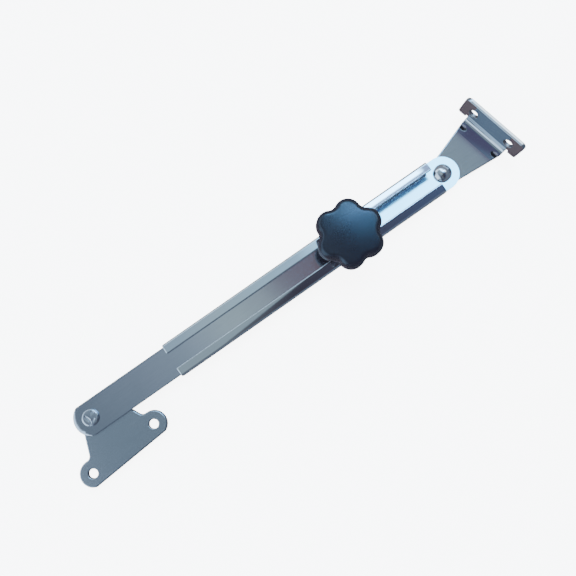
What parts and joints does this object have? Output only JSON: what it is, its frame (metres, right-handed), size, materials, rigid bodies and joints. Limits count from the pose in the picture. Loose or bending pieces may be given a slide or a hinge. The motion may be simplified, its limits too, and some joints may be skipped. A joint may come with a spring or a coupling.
{
  "type": "telescopic hatch adjuster",
  "caption": "Telescopic stay: a flat bar slides in a folded channel and is clamped by a lobed knob, with a pivoting side plate at one end and a pivoting angle bracket at the other.",
  "frame": {"origin": "on the lower pivot's axis, at the back face of the lower plate", "axes": "+X along the bar towards the upper bracket, +Z out of the face that carries the knob, +Y across the bar, away from the lower plate's screw holes"},
  "size_m": [0.3176, 0.061, 0.0297],
  "materials": {
    "polished_plate": "polished",
    "polished_bar": "polished",
    "polished_channel": "mirror polished",
    "polished_bracket": "polished",
    "rivet_steel": "polished",
    "black_plastic": "satin moulded",
    "insert_brass": "turned"
  },
  "bodies": {
    "plate": {"lower_plate": "polished_plate", "lower_rivet": "rivet_steel"},
    "bar": {"slide_bar": "polished_bar", "clamp_stud": "rivet_steel"},
    "channel": {"channel": "polished_channel", "upper_rivet": "rivet_steel"},
    "bracket": {"upper_bracket": "polished_bracket"},
    "washer": {"clamp_washer": "rivet_steel"},
    "knob": {"clamp_knob": "black_plastic", "knob_insert": "insert_brass"}
  },
  "joints": [
    {"name": "lower_pivot", "type": "hinge", "parent": "plate", "child": "bar", "pos_m": [0, 0, 0], "axis": [0, 0, 1], "range_deg": [-5, 190]},
    {"name": "channel_slide", "type": "slide", "parent": "bar", "child": "channel", "axis": [1, 0, 0], "range_m": [-0.028, 0.105]},
    {"name": "upper_pivot", "type": "hinge", "parent": "channel", "child": "bracket", "pos_m": [0.25, 0, 0], "axis": [0, 0, 1], "range_deg": [-127, 103]},
    {"name": "washer_lift", "type": "slide", "parent": "bar", "child": "washer", "axis": [0, 0, 1], "range_m": [0, 0.002]},
    {"name": "knob_turn", "type": "hinge", "parent": "washer", "child": "knob", "pos_m": [0.1788, 0, 0.0076], "axis": [0, 0, 1], "range_deg": [0, 720]}
  ],
  "couplings": [
    {"joint": "washer_lift", "follows": "knob_turn", "m_per_rad": 0.00015915}
  ]
}
